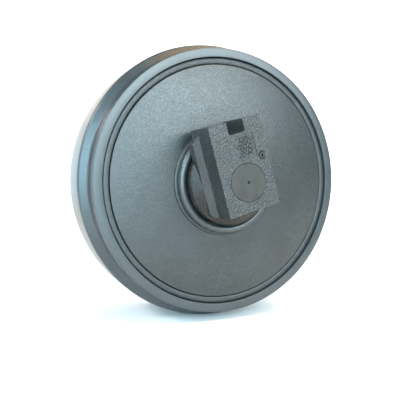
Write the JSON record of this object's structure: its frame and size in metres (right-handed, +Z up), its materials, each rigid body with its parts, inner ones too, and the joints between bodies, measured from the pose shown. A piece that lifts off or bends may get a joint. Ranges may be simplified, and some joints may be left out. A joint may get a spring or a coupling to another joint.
{
  "type": "track idler",
  "caption": "Welded excavator track idler wheel with a central guide flange, turning on a fixed shaft held by a cast bracket at each end.",
  "frame": {"origin": "centre of the wheel, on the axis it turns about", "axes": "+Y along the wheel's axis, +Z up, -Y towards the front bracket; the brackets lean 15.6 degrees from +Z towards -X"},
  "size_m": [0.642, 0.453, 0.642],
  "materials": {
    "painted_steel": "satin enamel, fine orange peel",
    "painted_weld": "satin enamel over weld ripples",
    "painted_casting": "satin enamel over sand-cast skin",
    "ground_steel": "turned and ground, thin oil film",
    "bright_steel": "machined",
    "bronze": "bored",
    "black_rubber": "matt"
  },
  "bodies": {
    "support": {"shaft": "ground_steel", "bracket_front": "painted_casting", "bracket_rear": "painted_casting", "bracket_seal_ring_front": "bright_steel", "bracket_seal_ring_rear": "bright_steel", "bracket_toric_ring_front": "black_rubber", "bracket_toric_ring_rear": "black_rubber", "shaft_o_ring_front": "black_rubber", "shaft_o_ring_rear": "black_rubber", "lock_pin_front": "bright_steel", "lock_pin_rear": "bright_steel", "oil_plug_front": "bright_steel", "oil_plug_rear": "bright_steel"},
    "wheel": {"rim": "painted_steel", "web_disc_front": "painted_steel", "web_disc_rear": "painted_steel", "hub_barrel": "painted_steel", "rim_weld_front": "painted_weld", "rim_weld_rear": "painted_weld", "hub_weld_front": "painted_weld", "hub_weld_rear": "painted_weld", "bushing_front": "bronze", "bushing_rear": "bronze", "hub_seal_ring_front": "bright_steel", "hub_seal_ring_rear": "bright_steel", "hub_toric_ring_front": "black_rubber", "hub_toric_ring_rear": "black_rubber"}
  },
  "joints": [
    {"name": "wheel_spin", "type": "hinge", "parent": "support", "child": "wheel", "pos_m": [0, 0, 0], "axis": [0, 1, 0], "continuous": true}
  ]
}
